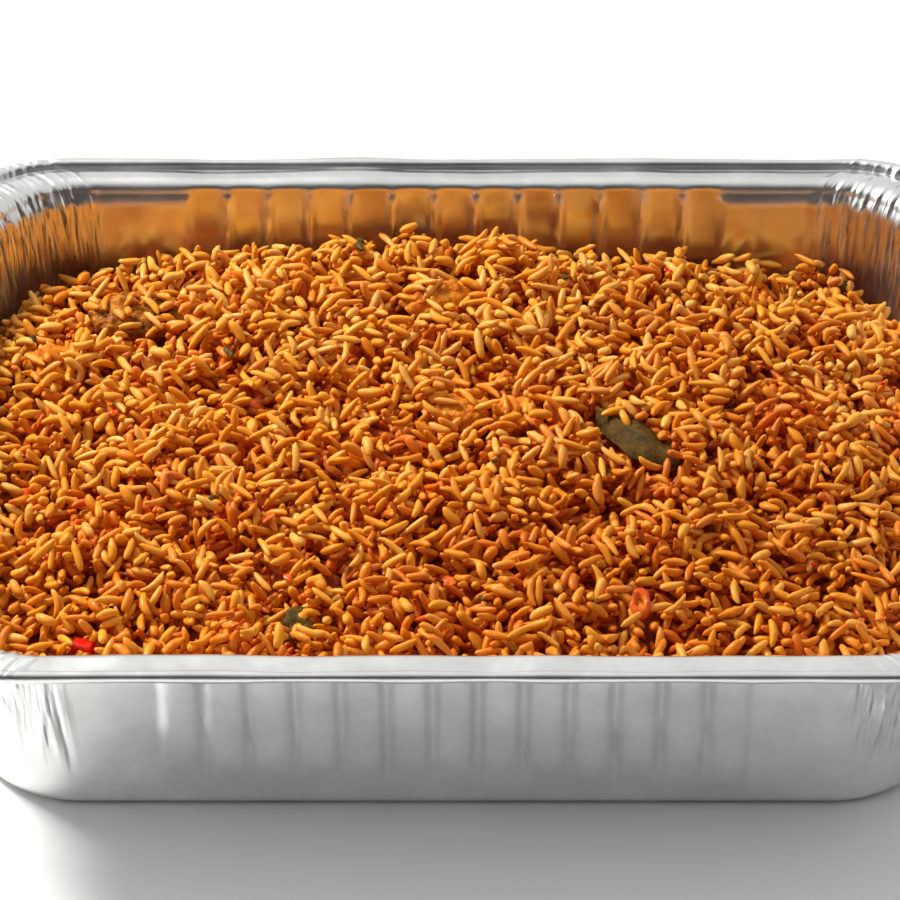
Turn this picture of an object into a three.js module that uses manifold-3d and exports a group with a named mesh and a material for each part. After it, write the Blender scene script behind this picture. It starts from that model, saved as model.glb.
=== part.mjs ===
// Party tray of jollof rice: a half-size aluminium foil pan with fluted walls and a rolled rim,
// filled with a gently mounded heap of rice that carries a bay leaf and a few pieces of meat.
// Millimetres, +Z up. The origin is the middle of the underside of the pan, and the long side
// of the pan runs along X.

import * as THREE from 'three';
import { mergeVertices } from 'three/addons/utils/BufferGeometryUtils.js';
import Module from 'manifold-3d';

// ---- driving dimensions -------------------------------------------------------------------

const PAN_LENGTH = 324;
const PAN_DEPTH = 264;
const PAN_HEIGHT = 65;
const WALL = 0.8;
const CORNER_STEPS = 4;
const REST_GAP = 0.3;

const RIM_CORNER_RADIUS = 41;
const BASE_CORNER_RADIUS = 33;
const BEAD_RADIUS = 1.7;
const FLANGE_DROP = 1.2;
const FLANGE_WIDTH = 10.2;
const EDGE_INSET = 13.0;
const EDGE_Z = 61.4;

const FLARE_Z = 57;
const FLARE_INSET = 14.7;
const WALL_FOOT_INSET = 20.8;
const BASE_FILLET = 4;

const FLUTE_PITCH = 13.1;
const FLUTE_DEPTH = 1.9;
const LONG_WALL_FLUTES = 13;
const SHORT_WALL_FLUTES = 9;
const FLUTE_FOOT_Z = 14;
const FLUTE_FLANK_SHARE = 0.2;

const HEAP_CROWN_Z = 52;
const HEAP_SIDE_CLEARANCE = 0.35;
const HEAP_LUMP_HEIGHT = 1.1;
const HEAP_RING_STEP = 0.1;
const HEAP_OUTER_RING = 0.93;

// ---- plan outline of the pan --------------------------------------------------------------

// A station is one place on the way round the pan. Its point at any inset from the rim's
// outer edge is worked out by `planPoint`, so every ring of the pan has the same stations.
function sideStations(quarter, fluteCount) {
  const stations = [{ quarter, share: -1 }];
  for (let i = 0; i < fluteCount; i += 1) {
    const crease = (i - fluteCount / 2) * FLUTE_PITCH;
    stations.push({ quarter, along: crease, flute: 0 });
    stations.push({ quarter, along: crease + FLUTE_FLANK_SHARE * FLUTE_PITCH, flute: 1 });
    stations.push({ quarter, along: crease + (1 - FLUTE_FLANK_SHARE) * FLUTE_PITCH, flute: 1 });
  }
  stations.push({ quarter, along: (fluteCount / 2) * FLUTE_PITCH, flute: 0 });
  stations.push({ quarter, share: 1 });
  return stations;
}

function cornerStations(quarter, steps) {
  const stations = [];
  for (let i = 1; i < steps; i += 1) {
    stations.push({ quarter, turn: (i / steps) * (Math.PI / 2) });
  }
  return stations;
}

function panStations(cornerSteps) {
  const stations = [];
  for (let quarter = 0; quarter < 4; quarter += 1) {
    const fluteCount = quarter % 2 === 0 ? LONG_WALL_FLUTES : SHORT_WALL_FLUTES;
    stations.push(...sideStations(quarter, fluteCount));
    stations.push(...cornerStations(quarter, cornerSteps));
  }
  return stations;
}

function cornerRadius(inset) {
  const share = inset / (WALL_FOOT_INSET + 1);
  return RIM_CORNER_RADIUS + (BASE_CORNER_RADIUS - RIM_CORNER_RADIUS) * share;
}

// Quarter 0 is the front wall, 1 the right, 2 the back and 3 the left, each with its far corner.
function planPoint(station, inset) {
  const endOn = station.quarter % 2 === 1;
  const halfAlong = (endOn ? PAN_DEPTH : PAN_LENGTH) / 2 - inset;
  const halfAcross = (endOn ? PAN_LENGTH : PAN_DEPTH) / 2 - inset;
  const radius = cornerRadius(inset);
  const straight = halfAlong - radius;
  let along = station.share !== undefined ? station.share * straight : station.along;
  let across = halfAcross;
  if (station.turn !== undefined) {
    along = straight + radius * Math.sin(station.turn);
    across = halfAcross - radius * (1 - Math.cos(station.turn));
  }
  const point = new THREE.Vector2(along, -across);
  return point.rotateAround(new THREE.Vector2(0, 0), station.quarter * (Math.PI / 2));
}

// ---- closed skins from rings --------------------------------------------------------------

// Joins rings of equal length, first to last, and closes both ends onto a point.
function skinFromRings(rings, firstTip, lastTip) {
  const count = rings[0].length;
  const points = [firstTip, ...rings.flat(), lastTip];
  const lastIndex = points.length - 1;
  const at = (ring, i) => 1 + ring * count + (i % count);
  const faces = [];
  for (let i = 0; i < count; i += 1) {
    faces.push(0, at(0, i + 1), at(0, i));
    faces.push(lastIndex, at(rings.length - 1, i), at(rings.length - 1, i + 1));
    for (let ring = 0; ring < rings.length - 1; ring += 1) {
      faces.push(at(ring, i), at(ring, i + 1), at(ring + 1, i));
      faces.push(at(ring, i + 1), at(ring + 1, i + 1), at(ring + 1, i));
    }
  }
  const geometry = new THREE.BufferGeometry();
  const flat = points.flatMap((point) => [point.x, point.y, point.z]);
  geometry.setAttribute('position', new THREE.Float32BufferAttribute(flat, 3));
  geometry.setIndex(faces);
  return geometry;
}

function finish(geometry, name, colour, roughness, metalness) {
  geometry.computeVertexNormals();
  const material = new THREE.MeshStandardMaterial({ color: colour, roughness, metalness });
  const mesh = new THREE.Mesh(geometry, material);
  mesh.name = name;
  return mesh;
}

// ---- the foil pan -------------------------------------------------------------------------

// Inset of the wall's outer skin at a height: a nearly upright wall that flares outwards into
// the rounded edge of the flange.
function wallInset(z) {
  if (z <= FLARE_Z) {
    return WALL_FOOT_INSET + (FLARE_INSET - WALL_FOOT_INSET) * (z / FLARE_Z);
  }
  return FLARE_INSET + (EDGE_INSET - FLARE_INSET) * ((z - FLARE_Z) / (EDGE_Z - FLARE_Z));
}

// The flutes are pressed outwards, and each one's face rises straight to the rounded edge.
function fluteInset(station, z) {
  const inFlute = z >= FLUTE_FOOT_Z && z <= FLARE_Z;
  return inFlute && station.flute ? -FLUTE_DEPTH : 0;
}

function tray() {
  const stations = panStations(CORNER_STEPS);
  const ring = (inset, z, flute) => stations.map((station) => {
    const plan = planPoint(station, inset + (flute ? fluteInset(station, z) : 0));
    return new THREE.Vector3(plan.x, plan.y, z);
  });
  const levels = [BASE_FILLET, FLUTE_FOOT_Z, FLARE_Z, EDGE_Z];
  const filletFoot = wallInset(0) + BASE_FILLET;
  const filletMiddle = BASE_FILLET * 0.29;
  const beadSide = PAN_HEIGHT - BEAD_RADIUS;
  const flangeTop = PAN_HEIGHT - FLANGE_DROP;
  const edgeMiddle = (FLANGE_WIDTH + EDGE_INSET) / 2 + WALL / 2;

  const outside = [
    ring(filletFoot, 0, false),
    ring(wallInset(0) + filletMiddle, filletMiddle, false),
    ...levels.map((z) => ring(wallInset(z), z, true)),
    ring(edgeMiddle - WALL / 2, flangeTop - 1.7 * WALL, false),
    ring(FLANGE_WIDTH, flangeTop - WALL, false),
  ];
  const rim = [
    ring(2 * BEAD_RADIUS, flangeTop - WALL, false),
    ring(BEAD_RADIUS, PAN_HEIGHT - 2 * BEAD_RADIUS, false),
    ring(0, beadSide, false),
    ring(BEAD_RADIUS, PAN_HEIGHT, false),
    ring(2 * BEAD_RADIUS - 0.3, flangeTop, false),
    ring(FLANGE_WIDTH, flangeTop, false),
    ring(edgeMiddle + WALL / 2, flangeTop - 0.8 * WALL, false),
  ];
  const inside = [
    ...levels.toReversed().map((z) => ring(wallInset(z) + WALL, z, true)),
    ring(wallInset(0) + filletMiddle + WALL, filletMiddle + WALL, false),
    ring(filletFoot + WALL, WALL, false),
  ];
  const skin = skinFromRings(
    [...outside, ...rim, ...inside],
    new THREE.Vector3(0, 0, 0),
    new THREE.Vector3(0, 0, WALL),
  );
  return finish(skin, 'tray', 0xc9cbcc, 0.3, 1);
}

// ---- the heap of rice ---------------------------------------------------------------------

// Smooth lumps a few grains across, from crossed waves of unrelated lengths.
function lumps(x, y) {
  const broad = Math.sin(x / 17 + 1.3 * Math.sin(y / 23)) * Math.cos(y / 15 + 0.7);
  const narrow = Math.sin(x / 6.1 + 2.1) * Math.sin(y / 5.3 + 0.9 * Math.sin(x / 9));
  return HEAP_LUMP_HEIGHT * (broad + 0.55 * narrow);
}

// Height of the heap: a broad mound that falls away to the walls, most of all in the
// corners, and a little less towards the front than towards the back.
function heapTop(x, y) {
  const side = Math.abs(x) / (PAN_LENGTH / 2);
  const end = Math.abs(y) / (PAN_DEPTH / 2);
  const endDrop = y > 0 ? 12 : 9;
  const corner = 25 * (side * end) ** 2.5;
  return HEAP_CROWN_Z - 15 * side ** 3 - endDrop * end ** 3 - corner + lumps(x, y);
}

function heap() {
  const stations = panStations(CORNER_STEPS).filter((station) => station.flute !== 1);
  const clearance = WALL + HEAP_SIDE_CLEARANCE;
  const floor = WALL + REST_GAP;
  const ring = (inset, z) => stations.map((station) => {
    const plan = planPoint(station, inset);
    return new THREE.Vector3(plan.x, plan.y, z);
  });
  const edge = stations.map((station) => {
    const guess = planPoint(station, wallInset(HEAP_CROWN_Z) + clearance);
    const z = heapTop(guess.x, guess.y);
    const plan = planPoint(station, wallInset(z) + clearance);
    return new THREE.Vector3(plan.x, plan.y, z);
  });
  const topRings = [];
  for (let share = HEAP_OUTER_RING; share > HEAP_RING_STEP / 2; share -= HEAP_RING_STEP) {
    topRings.push(edge.map((point) => {
      const x = point.x * share;
      const y = point.y * share;
      return new THREE.Vector3(x, y, heapTop(x, y));
    }));
  }
  const foot = BASE_FILLET + floor;
  return skinFromRings(
    [ring(wallInset(0) + BASE_FILLET + clearance, floor), ring(wallInset(foot) + clearance, foot),
      edge, ...topRings],
    new THREE.Vector3(0, 0, floor),
    new THREE.Vector3(0, 0, heapTop(0, 0)),
  );
}

// ---- pieces of meat, half sunk in the heap ------------------------------------------------

const MEAT_PIECES = [
  { name: 'meat_back_left', x: -97, y: 71, length: 33, width: 21, height: 13, turn: -8, proud: 5.5 },
  { name: 'meat_left', x: -124, y: 51, length: 19, width: 13, height: 10, turn: 12, proud: 4 },
  { name: 'meat_back', x: -5, y: 76, length: 24, width: 15, height: 11, turn: 8, proud: 4.5 },
  { name: 'meat_middle_left', x: 1, y: 13, length: 19, width: 15, height: 10, turn: -14, proud: 3.5 },
  { name: 'meat_middle_right', x: 18.3, y: 12, length: 14, width: 15, height: 10, turn: 30, proud: 3.5 },
];

// A rough-cut lump: a rounded body whose surface swells and dips unevenly.
function meatGeometry(piece, grow) {
  const geometry = new THREE.SphereGeometry(1, 12, 7);
  geometry.deleteAttribute('normal');
  geometry.deleteAttribute('uv');
  const body = mergeVertices(geometry, 1e-4);
  const position = body.getAttribute('position');
  const half = new THREE.Vector3(piece.length, piece.width, piece.height).multiplyScalar(0.5);
  const point = new THREE.Vector3();
  for (let i = 0; i < position.count; i += 1) {
    point.fromBufferAttribute(position, i);
    const swell = 1 + 0.09 * Math.sin(3 * point.x + piece.x) * Math.cos(4 * point.y + piece.y)
      + 0.06 * Math.sin(5 * point.z + piece.x + piece.y);
    const square = 1 / (Math.abs(point.x) ** 3 + Math.abs(point.y) ** 3
      + Math.abs(point.z) ** 3) ** (1 / 3);
    const size = 0.5 * (1 + square) * swell;
    position.setXYZ(
      i,
      point.x * (half.x * size + grow),
      point.y * (half.y * size + grow),
      point.z * (half.z * size + grow),
    );
  }
  body.rotateZ(THREE.MathUtils.degToRad(piece.turn));
  body.translate(piece.x, piece.y, heapTop(piece.x, piece.y) + piece.proud - piece.height / 2);
  return body;
}

// ---- the bay leaf -------------------------------------------------------------------------

const LEAF = { x: 54, y: -2, length: 34, width: 13, thickness: 0.7, turn: -48, lift: 3.2, sunk: 0.5 };

// A pointed leaf with one edge sunk in the heap, and its other edge and its tip lifted clear.
function leafGeometry(grow) {
  const stepsLong = 12;
  const stepsWide = 4;
  const turn = THREE.MathUtils.degToRad(LEAF.turn);
  const point = (i, j, layer) => {
    const u = i / stepsLong;
    const v = (2 * j) / stepsWide - 1;
    const half = (LEAF.width / 2) * Math.sin(Math.PI * (0.04 + 0.92 * u)) ** 0.8 + grow;
    const plan = new THREE.Vector2((u - 0.5) * (LEAF.length + 2 * grow), v * half);
    plan.rotateAround(new THREE.Vector2(0, 0), turn);
    const x = LEAF.x + plan.x;
    const y = LEAF.y + plan.y;
    const lift = LEAF.lift * (0.35 + 0.65 * u) * (0.5 + 0.5 * v) + 0.35 * v * v * LEAF.width / 6;
    const z = heapTop(x, y) - LEAF.sunk + lift + layer * (LEAF.thickness / 2 + grow);
    return new THREE.Vector3(x, y, z);
  };
  const rings = [];
  for (let i = 0; i <= stepsLong; i += 1) {
    const under = [];
    const over = [];
    for (let j = 0; j <= stepsWide; j += 1) {
      under.push(point(i, j, -1));
      over.push(point(i, stepsWide - j, 1));
    }
    rings.push([...under, ...over]);
  }
  const tip = (i) => point(i, stepsWide / 2, 0);
  return skinFromRings(rings, tip(0), tip(stepsLong));
}

// ---- assembly -----------------------------------------------------------------------------

const wasm = await Module();
wasm.setup();

function solidOf(geometry) {
  const bare = mergeVertices(geometry, 1e-5);
  const vertProperties = Float32Array.from(bare.getAttribute('position').array);
  const triVerts = Uint32Array.from(bare.getIndex().array);
  return new wasm.Manifold(new wasm.Mesh({ numProp: 3, vertProperties, triVerts }));
}

function geometryOf(solid) {
  const mesh = solid.getMesh();
  const geometry = new THREE.BufferGeometry();
  geometry.setAttribute('position', new THREE.Float32BufferAttribute(mesh.vertProperties, 3));
  geometry.setIndex(Array.from(mesh.triVerts));
  return geometry;
}

// The heap is hollowed where the meat and the leaf lie in it, a little wider than they are.
function rice() {
  let solid = solidOf(heap());
  for (const piece of MEAT_PIECES) {
    solid = solid.subtract(solidOf(meatGeometry(piece, 1.5 * REST_GAP)));
  }
  solid = solid.subtract(solidOf(leafGeometry(REST_GAP)));
  return finish(geometryOf(solid), 'rice', 0xd9781e, 0.45, 0);
}

const group = new THREE.Group();
group.add(tray());
group.add(rice());
group.add(finish(leafGeometry(0), 'bay_leaf', 0x4a4420, 0.5, 0));
for (const piece of MEAT_PIECES) {
  group.add(finish(meatGeometry(piece, 0), piece.name, 0xb5682a, 0.5, 0));
}

export default group;
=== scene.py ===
import math

import bpy
import numpy as np
from mathutils import Matrix, Vector
from mathutils.bvhtree import BVHTree


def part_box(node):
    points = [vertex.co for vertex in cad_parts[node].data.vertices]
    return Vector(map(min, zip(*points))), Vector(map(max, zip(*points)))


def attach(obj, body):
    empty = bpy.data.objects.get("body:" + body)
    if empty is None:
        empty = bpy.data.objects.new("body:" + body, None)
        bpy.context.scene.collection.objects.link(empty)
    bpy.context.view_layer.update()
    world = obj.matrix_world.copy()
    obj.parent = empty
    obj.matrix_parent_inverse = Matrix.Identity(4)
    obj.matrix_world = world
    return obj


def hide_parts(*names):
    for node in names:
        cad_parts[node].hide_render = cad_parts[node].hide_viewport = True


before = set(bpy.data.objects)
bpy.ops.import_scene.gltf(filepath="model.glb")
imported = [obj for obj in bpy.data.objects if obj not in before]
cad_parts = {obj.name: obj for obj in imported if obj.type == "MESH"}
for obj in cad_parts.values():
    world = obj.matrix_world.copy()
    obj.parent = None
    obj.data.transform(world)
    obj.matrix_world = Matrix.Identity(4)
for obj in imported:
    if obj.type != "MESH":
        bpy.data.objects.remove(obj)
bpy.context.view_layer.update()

# ---- camera ---------------------------------------------------------------------------------
# A long lens, a good step back and above the tray's long front side, close enough that the
# rim's far corners are cut off a little.

CAMERA_TARGET = Vector((-0.0015, 0.0092, 0.040))
CAMERA_DISTANCE = 1.787
CAMERA_ELEVATION = math.radians(36.38)

camera_data = bpy.data.cameras.new("camera")
camera_data.sensor_width = 36
camera_data.lens = 236
camera = bpy.data.objects.new("camera", camera_data)
bpy.context.collection.objects.link(camera)
camera_back = Vector((0, -math.cos(CAMERA_ELEVATION), math.sin(CAMERA_ELEVATION)))
camera.location = CAMERA_TARGET + camera_back * CAMERA_DISTANCE
camera.rotation_euler = (-camera_back).to_track_quat("-Z", "Y").to_euler()
bpy.context.scene.camera = camera

# ---- studio ---------------------------------------------------------------------------------
# A plain white table in a white room that is darker on the camera's side, with one large soft
# lamp above and behind to the left and a weak one from the front left.

bpy.context.scene.view_settings.view_transform = "Standard"

bpy.ops.mesh.primitive_plane_add(size=8, location=(0, 0, 0))
floor = bpy.context.object
floor.name = "floor"
floor_material = bpy.data.materials.new("white_table")
floor_material.use_nodes = True
floor_shader = floor_material.node_tree.nodes["Principled BSDF"]
floor_shader.inputs["Base Color"].default_value = (0.90, 0.90, 0.90, 1)
floor_shader.inputs["Roughness"].default_value = 0.6
floor.data.materials.append(floor_material)

world = bpy.data.worlds.new("white_room")
world.use_nodes = True
world_nodes, world_links = world.node_tree.nodes, world.node_tree.links
room_light = world_nodes["Background"]
room_light.inputs["Color"].default_value = (1.0, 0.99, 0.97, 1)
room_place = world_nodes.new("ShaderNodeTexCoord")
room_axes = world_nodes.new("ShaderNodeSeparateXYZ")
room_depth = world_nodes.new("ShaderNodeMapRange")
ROOM_SHADE = {"From Min": -0.65, "From Max": -0.15, "To Min": 0.05, "To Max": 0.78}
for socket, number in ROOM_SHADE.items():
    room_depth.inputs[socket].default_value = number
world_links.new(room_place.outputs["Generated"], room_axes.inputs["Vector"])
world_links.new(room_axes.outputs["Y"], room_depth.inputs["Value"])
world_links.new(room_depth.outputs["Result"], room_light.inputs["Strength"])
bpy.context.scene.world = world


def soft_lamp(name, place, size, watts, colour):
    """A soft rectangular lamp that faces the tray."""
    data = bpy.data.lights.new(name, "AREA")
    data.shape = "RECTANGLE"
    data.size, data.size_y = size
    data.energy = watts
    data.color = colour
    lamp = bpy.data.objects.new(name, data)
    lamp.location = place
    lamp.rotation_euler = (-Vector(place)).to_track_quat("-Z", "Y").to_euler()
    bpy.context.collection.objects.link(lamp)


soft_lamp("lamp_back_left", (-0.78, 0.46, 0.88), (0.34, 0.30), 21, (1.0, 0.98, 0.95))
soft_lamp("lamp_front_left", (-1.5, -0.5, 0.8), (0.5, 0.5), 1.5, (1.0, 1.0, 1.0))

# ---- foil tray ------------------------------------------------------------------------------
# A half-size deep catering tray, drawn from one sheet of thin aluminium foil: nearly upright
# walls pressed into broad flutes, a rounded edge, a flat flange and a rolled bead. The sheet is
# gathered into fine pleats at the four rounded corners.

_, tray_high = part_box("tray")
HALF_LONG = tray_high.x
HALF_DEEP = tray_high.y
TRAY_HEIGHT = tray_high.z
FOIL = 0.00022
BASE_INSET = 0.0250
BASE_CORNER = 0.0305
CORNER_SEGMENTS = 96
WALL_FOOT_INSET = 0.0212
WALL_SLOPE = 0.1071
FLARE_Z = 0.0560
FLARE_RATE = 7.5
FLARE_POWER = 1.6
FLANGE_INSET = 0.0094
EDGE_RADIUS = 0.0046
FLANGE_Z = TRAY_HEIGHT - 0.0013
BEAD_RADIUS = 0.00165
FLUTE_PITCH = 0.0131
FLUTE_DEPTH = 0.0020
LONG_FLUTES = 13
SHORT_FLUTES = 9
FLUTE_FACE_INSET = 0.0131
FLUTE_SHARE = 0.86
WALL_CORNER = 0.033
CORNER_RUN_RADIUS = 0.040
CORNER_RUN = CORNER_RUN_RADIUS * math.pi / 2


def wall_inset(z):
    """How far the wall's sheet lies in from the rim's outer edge at height z, flutes aside."""
    return WALL_FOOT_INSET - WALL_SLOPE * z - FLARE_RATE * np.maximum(z - FLARE_Z, 0) ** FLARE_POWER


def foil_profile():
    """Inset and height of each ring of the sheet, from the edge of the base to the curl."""
    rings = [(BASE_INSET, FOIL / 2)]
    for degrees in (25, 50, 75):
        turn = math.radians(degrees)
        rings.append((BASE_INSET - 0.0042 * math.sin(turn), FOIL / 2 + 0.0040 * (1 - math.cos(turn))))
    for z in (*np.linspace(0.0046, 0.0505, 13), 0.0530, 0.0548, 0.0562, 0.0574, 0.0585, 0.0595, 0.0604):
        rings.append((float(wall_inset(z)), z))
    for degrees in (60, 48, 36, 24, 12, 3):
        turn = math.radians(degrees)
        edge_z = FLANGE_Z - EDGE_RADIUS * (1 - math.cos(turn))
        rings.append((FLANGE_INSET + EDGE_RADIUS * math.sin(turn), edge_z))
    flange = ((FLANGE_INSET - 0.0003, 0.0002), (0.0074, 0.0001), (0.0057, 0.0007),
              (0.0044, 0.0011), (0.0037, 0.0012), (0.0034, 0.0007))
    rings += [(inset, FLANGE_Z - drop) for inset, drop in flange]
    for degrees in (10, 35, 62, 90, 120, 150, 180, 210, 240, 270, 300, 330):
        turn = math.radians(degrees)
        rings.append((BEAD_RADIUS * (1 + math.cos(turn)), TRAY_HEIGHT - BEAD_RADIUS * (1 - math.sin(turn))))
    return rings


def select_straight_edges(mesh, axis):
    """Selects the outline's long straight edges that run along X (0) or Y (1)."""
    for item in (*mesh.vertices, *mesh.polygons):
        item.select = False
    for edge in mesh.edges:
        start, end = (mesh.vertices[i].co for i in edge.vertices)
        edge.select = abs((end - start)[1 - axis]) < 1e-6 and (end - start).length > 0.004


def draw_sheet(rings):
    """The rounded base outline first, then one extruded and widened ring after another."""
    bpy.ops.object.select_all(action="DESELECT")
    bpy.ops.mesh.primitive_plane_add(size=2, location=(0, 0, rings[0][1]))
    sheet = bpy.context.object
    sheet.name = "foil_tray"
    sheet.scale = (HALF_LONG - BASE_INSET, HALF_DEEP - BASE_INSET, 1)
    bpy.ops.object.transform_apply(location=True, rotation=False, scale=True)
    bpy.ops.object.mode_set(mode="EDIT")
    bpy.ops.mesh.select_all(action="SELECT")
    bpy.ops.mesh.bevel(offset=BASE_CORNER, segments=CORNER_SEGMENTS, affect="VERTICES")
    bpy.ops.mesh.delete(type="ONLY_FACE")
    for axis, cuts in ((0, 9), (1, 9), (0, 18), (1, 11)):
        bpy.ops.object.mode_set(mode="OBJECT")
        select_straight_edges(sheet.data, axis)
        bpy.ops.object.mode_set(mode="EDIT")
        bpy.ops.mesh.select_mode(type="EDGE")
        bpy.ops.mesh.subdivide(number_cuts=cuts)
    bpy.ops.mesh.select_all(action="SELECT")
    for (inset, z), (next_inset, next_z) in zip(rings, rings[1:]):
        widen = ((HALF_LONG - next_inset) / (HALF_LONG - inset),
                 (HALF_DEEP - next_inset) / (HALF_DEEP - inset), 1)
        bpy.ops.mesh.extrude_edges_move(TRANSFORM_OT_translate={"value": (0, 0, next_z - z)})
        bpy.ops.transform.resize(value=widen)
    bpy.ops.mesh.select_all(action="DESELECT")
    bpy.ops.object.mode_set(mode="OBJECT")
    for edge in sheet.data.edges:
        edge.select = all(sheet.data.vertices[i].co.z < rings[0][1] + 1e-5 for i in edge.vertices)
    bpy.ops.object.mode_set(mode="EDIT")
    bpy.ops.mesh.edge_face_add()
    bpy.ops.mesh.select_all(action="SELECT")
    bpy.ops.mesh.normals_make_consistent(inside=False)
    bpy.ops.object.mode_set(mode="OBJECT")
    return sheet


def mesh_points(piece):
    """The places of the piece's vertices, one row for each."""
    flat = np.empty(len(piece.data.vertices) * 3)
    piece.data.vertices.foreach_get("co", flat)
    return flat.reshape(-1, 3)


def set_mesh_points(piece, points):
    piece.data.vertices.foreach_set("co", np.asarray(points, np.float32).ravel())
    piece.data.update()


def pick_only(piece):
    """Leaves one piece selected and active."""
    bpy.ops.object.select_all(action="DESELECT")
    piece.select_set(True)
    bpy.context.view_layer.objects.active = piece


def ease(share):
    """Goes from 0 to 1 with a soft start and a soft end."""
    share = np.clip(share, 0, 1)
    return share * share * (3 - 2 * share)


def press_flutes(points, insets):
    """Pushes the walls out into broad round-topped flutes with narrow ridges left between them."""
    for axis, count, half in ((0, LONG_FLUTES, HALF_DEEP), (1, SHORT_FLUTES, HALF_LONG)):
        along, across, z = points[:, axis], points[:, 1 - axis], points[:, 2]
        on_wall = (np.abs(along) < FLUTE_PITCH * count / 2) & (np.abs(across) > half - BASE_INSET)
        from_middle = np.abs((along / FLUTE_PITCH + 0.5) % 1 - 0.5) * 2
        arch = np.sqrt(1 - np.clip(from_middle / FLUTE_SHARE, 0, 1) ** 2)
        depth = np.clip(insets - FLUTE_FACE_INSET, 0, FLUTE_DEPTH)
        push = depth * arch ** 0.7 * ease((z - 0.0060) / 0.0140)
        points[:, 1 - axis] += np.where(on_wall & (insets > FLUTE_FACE_INSET), np.sign(across) * push, 0)


def corner_run(points, insets):
    """How far round its corner each point is, as a length; under 0 before it starts."""
    wide_x = (HALF_LONG - insets) / (HALF_LONG - BASE_INSET)
    wide_y = (HALF_DEEP - insets) / (HALF_DEEP - BASE_INSET)
    past_x = np.abs(points[:, 0]) - (HALF_LONG - BASE_INSET - BASE_CORNER) * wide_x
    past_y = np.abs(points[:, 1]) - (HALF_DEEP - BASE_INSET - BASE_CORNER) * wide_y
    turn = np.arctan2(np.maximum(past_y, 0), np.maximum(past_x, 0))
    return turn * CORNER_RUN_RADIUS - np.maximum(-past_y, 0) + np.maximum(-past_x, 0)


def gather_corners(points, normals, around, path):
    """Lifts sharp little folds out of the sheet at each corner, most of them running up the wall
    and over the flange and bead, and some slanting across the others."""
    quadrant = (points[:, 0] > 0) + 2 * (points[:, 1] > 0)
    chance = np.random.default_rng(41)
    lift = np.zeros(len(points))
    for corner in range(4):
        here = quadrant == corner
        t, v = around[here], path[here]
        folds = np.zeros(here.sum())
        for number, height, width, lean, foot, reach in (
                (30, 0.00080, 0.0012, 0.30, (0.014, 0.040), (0.058, 0.072)),
                (20, 0.00050, 0.0009, 0.60, (0.020, 0.052), (0.040, 0.070)),
                (26, 0.00030, 0.0011, 0.25, (0.060, 0.070), (0.084, 0.095))):
            for _ in range(number):
                start = chance.uniform(*foot)
                end = max(chance.uniform(*reach), start + 0.012)
                place = chance.uniform(-0.002, CORNER_RUN + 0.002)
                slant = chance.normal(0, lean)
                size = chance.uniform(0.5, 1.2) * chance.choice((-1, 1))
                away = np.abs(t - place - slant * (v - 0.060)) / (width * chance.uniform(0.8, 1.3))
                taper = ease((v - start) / 0.010) * ease((end - v) / 0.006)
                folds += height * size * np.clip(1 - away, 0, 1) * taper
        inside = ease((t + 0.005) / 0.005) * ease((CORNER_RUN + 0.005 - t) / 0.005)
        lift[here] = np.clip(folds, -0.0010, 0.0010) * inside
    points += normals * lift[:, None]


def dent(points, normals):
    """Very shallow waves, as thin foil has wherever it isn't pressed."""
    chance = np.random.default_rng(5)
    depth = np.zeros(len(points))
    for _ in range(22):
        direction = chance.normal(size=3) * (1, 1, 1.6)
        direction /= np.linalg.norm(direction)
        wave = chance.uniform(0.014, 0.050)
        depth += np.sin(points @ direction * 2 * np.pi / wave + chance.uniform(0, 7)) * wave
    depth *= 0.00022 / 0.050 / 3
    above_table = ease((points[:, 2] - 0.004) / 0.01)
    points += normals * (depth * above_table)[:, None]


rings = foil_profile()
tray = draw_sheet(rings)
tray_points = mesh_points(tray)
ring_size = len(tray_points) // len(rings)
ring_insets = np.array([inset for inset, z in rings])
ring_heights = np.array([z for inset, z in rings])
ring_path = np.concatenate([[0], np.cumsum(np.hypot(np.diff(ring_insets), np.diff(ring_heights)))])
tray_normals = np.empty(len(tray_points) * 3)
tray.data.vertices.foreach_get("normal", tray_normals)
tray_normals = tray_normals.reshape(-1, 3)
sheet_path = np.repeat(ring_path, ring_size)
sheet_around = corner_run(tray_points, np.repeat(ring_insets, ring_size))
press_flutes(tray_points, np.repeat(ring_insets, ring_size))
gather_corners(tray_points, tray_normals, sheet_around, sheet_path)
dent(tray_points, tray_normals)
set_mesh_points(tray, tray_points)
gathered = ease((sheet_around + 0.004) / 0.008) * ease((CORNER_RUN + 0.004 - sheet_around) / 0.008)
gathered *= ease((sheet_path - 0.012) / 0.030) * (1 - 0.6 * ease((sheet_path - 0.060) / 0.006))
gather = tray.data.attributes.new("gather", "FLOAT_VECTOR", "POINT")
gather_rows = np.stack([sheet_around, sheet_path, gathered], 1)
gather.data.foreach_set("vector", gather_rows.astype(np.float32).ravel())
thickness = tray.modifiers.new("thickness", "SOLIDIFY")
thickness.thickness = FOIL
thickness.offset = 0
pick_only(tray)
bpy.ops.object.modifier_apply(modifier="thickness")
bpy.ops.object.shade_smooth_by_angle(angle=math.radians(50))


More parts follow.
